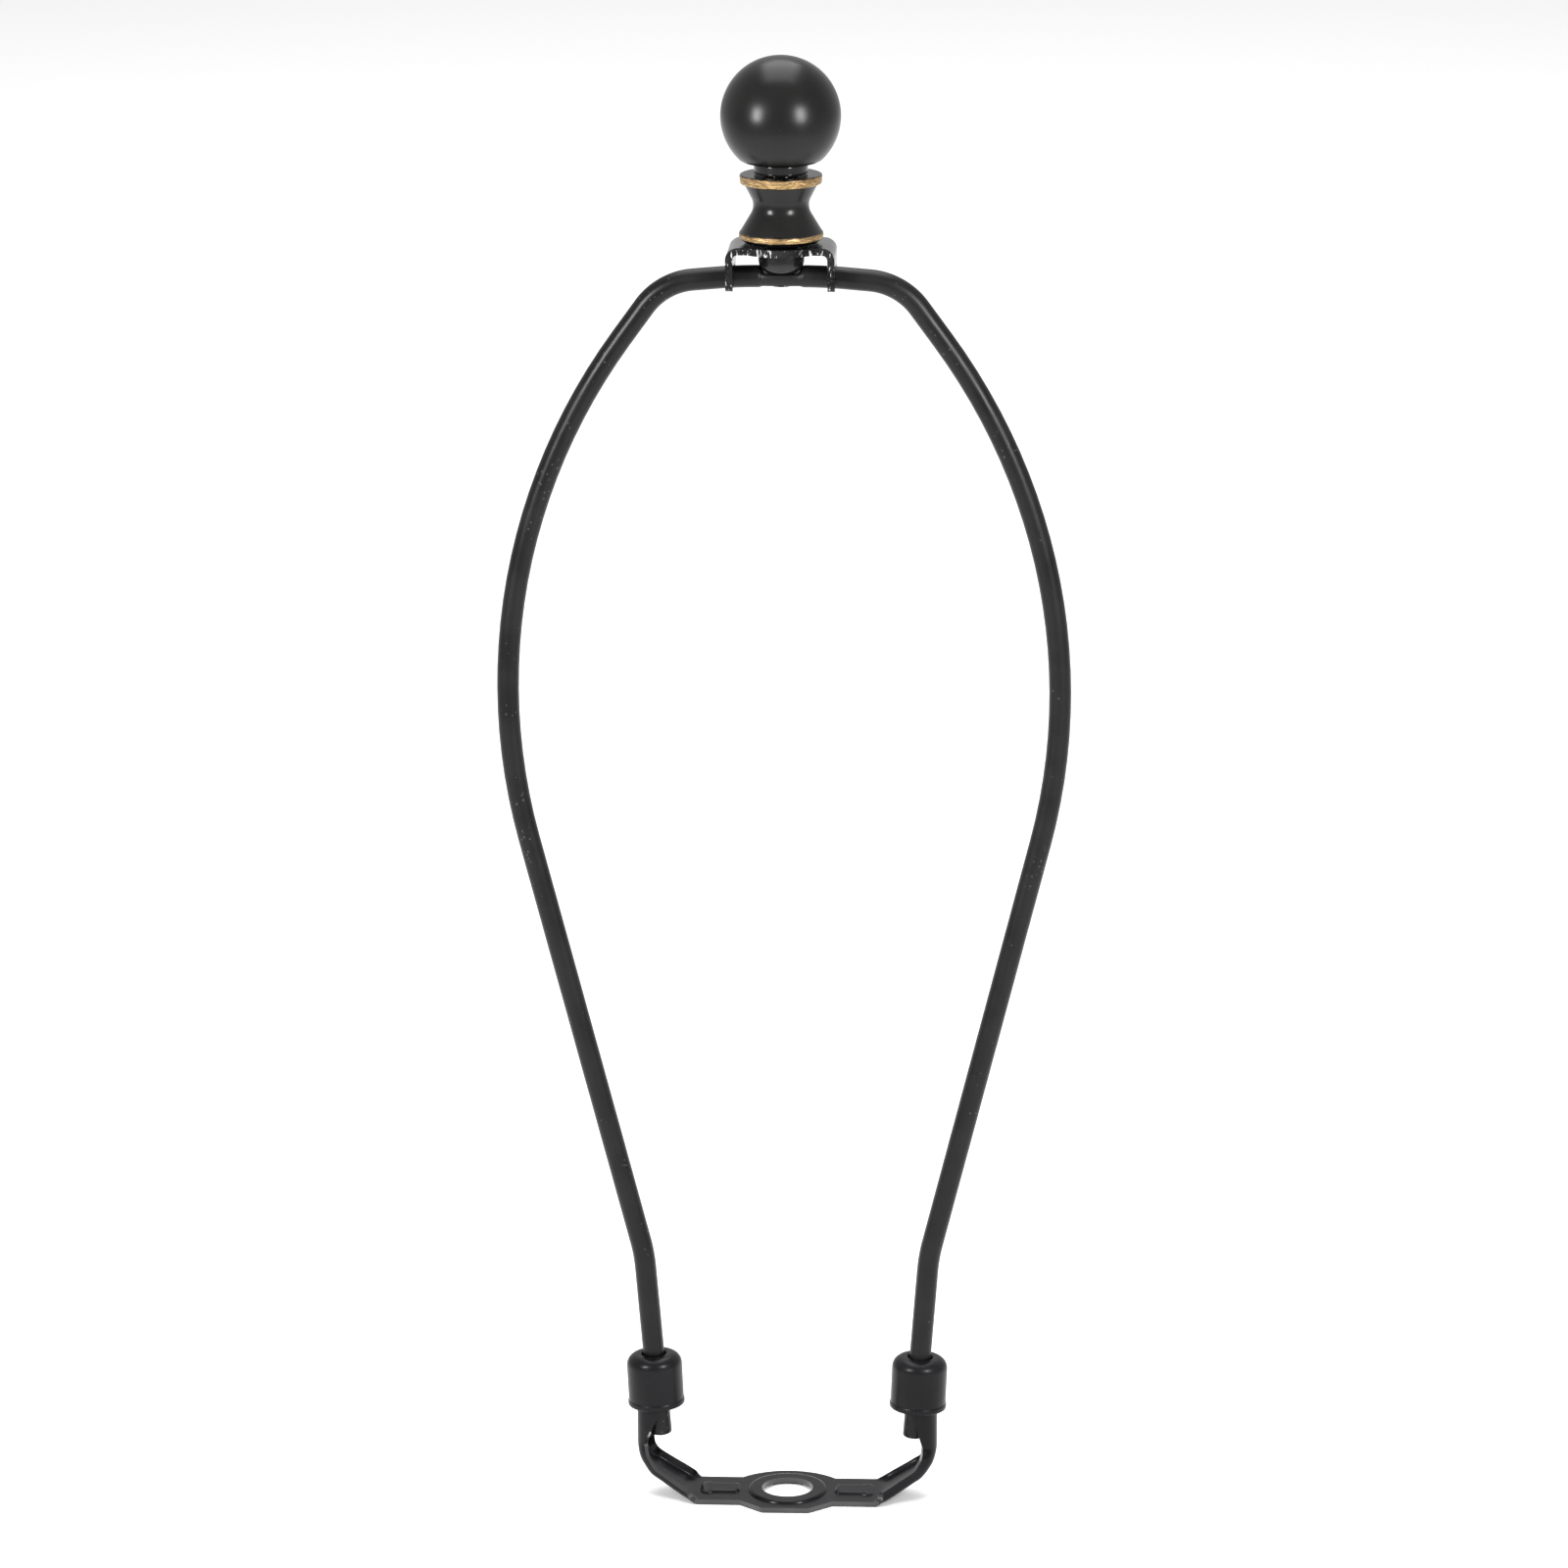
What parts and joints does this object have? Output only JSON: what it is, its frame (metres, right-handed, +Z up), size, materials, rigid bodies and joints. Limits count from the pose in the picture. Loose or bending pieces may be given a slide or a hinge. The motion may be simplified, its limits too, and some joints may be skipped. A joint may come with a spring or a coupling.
{
  "type": "lamp harp",
  "caption": "Bent wire lamp harp on a stamped saddle, with locking sleeves, a bent shade rest and a spool-and-ball finial.",
  "frame": {"origin": "middle of the saddle's hole, on the saddle's underside", "axes": "+Z up the harp towards the finial, +X along the saddle to the right arm, -Y to the front"},
  "size_m": [0.1118, 0.023, 0.2917],
  "materials": {
    "saddle_gloss_black": "glossy black paint over stamped steel, bright along the edges",
    "wire_satin_black": "satin black paint over drawn wire",
    "sleeve_black": "semi-gloss black paint over a drawn cup",
    "rest_black": "glossy black paint, rough on the sheared edges",
    "stud_black": "glossy black paint over turned steel",
    "spool_black_and_gold": "black lacquer with two brushed antique gold bands",
    "collar_gloss_black": "glossy black lacquer",
    "ball_satin_black": "smooth satin black lacquer"
  },
  "bodies": {
    "saddle": {"saddle": "saddle_gloss_black"},
    "harp": {"harp_wire": "wire_satin_black", "shade_rest": "rest_black", "threaded_stud": "stud_black"},
    "sleeve_left": {"sleeve_left": "sleeve_black"},
    "sleeve_right": {"sleeve_right": "sleeve_black"},
    "finial_core": {"joining_stud": "collar_gloss_black"},
    "finial": {"finial_base": "spool_black_and_gold", "finial_ball": "ball_satin_black"}
  },
  "joints": [
    {"name": "harp_lift", "type": "slide", "parent": "saddle", "child": "harp", "axis": [0, 0, 1], "range_m": [0, 0.022]},
    {"name": "sleeve_left_slide", "type": "slide", "parent": "harp", "child": "sleeve_left", "axis": [-0.0802, 0, 0.9968], "range_m": [0, 0.015]},
    {"name": "sleeve_right_slide", "type": "slide", "parent": "harp", "child": "sleeve_right", "axis": [0.0802, 0, 0.9968], "range_m": [0, 0.015]},
    {"name": "finial_rise", "type": "slide", "parent": "harp", "child": "finial_core", "axis": [0, 0, 1], "range_m": [0, 0.0085]},
    {"name": "finial_turn", "type": "hinge", "parent": "finial_core", "child": "finial", "pos_m": [0, 0, 0.2557], "axis": [0, 0, 1], "range_deg": [0, 3240]}
  ],
  "couplings": [
    {"joint": "finial_rise", "follows": "finial_turn", "m_per_rad": 0.00014972}
  ]
}
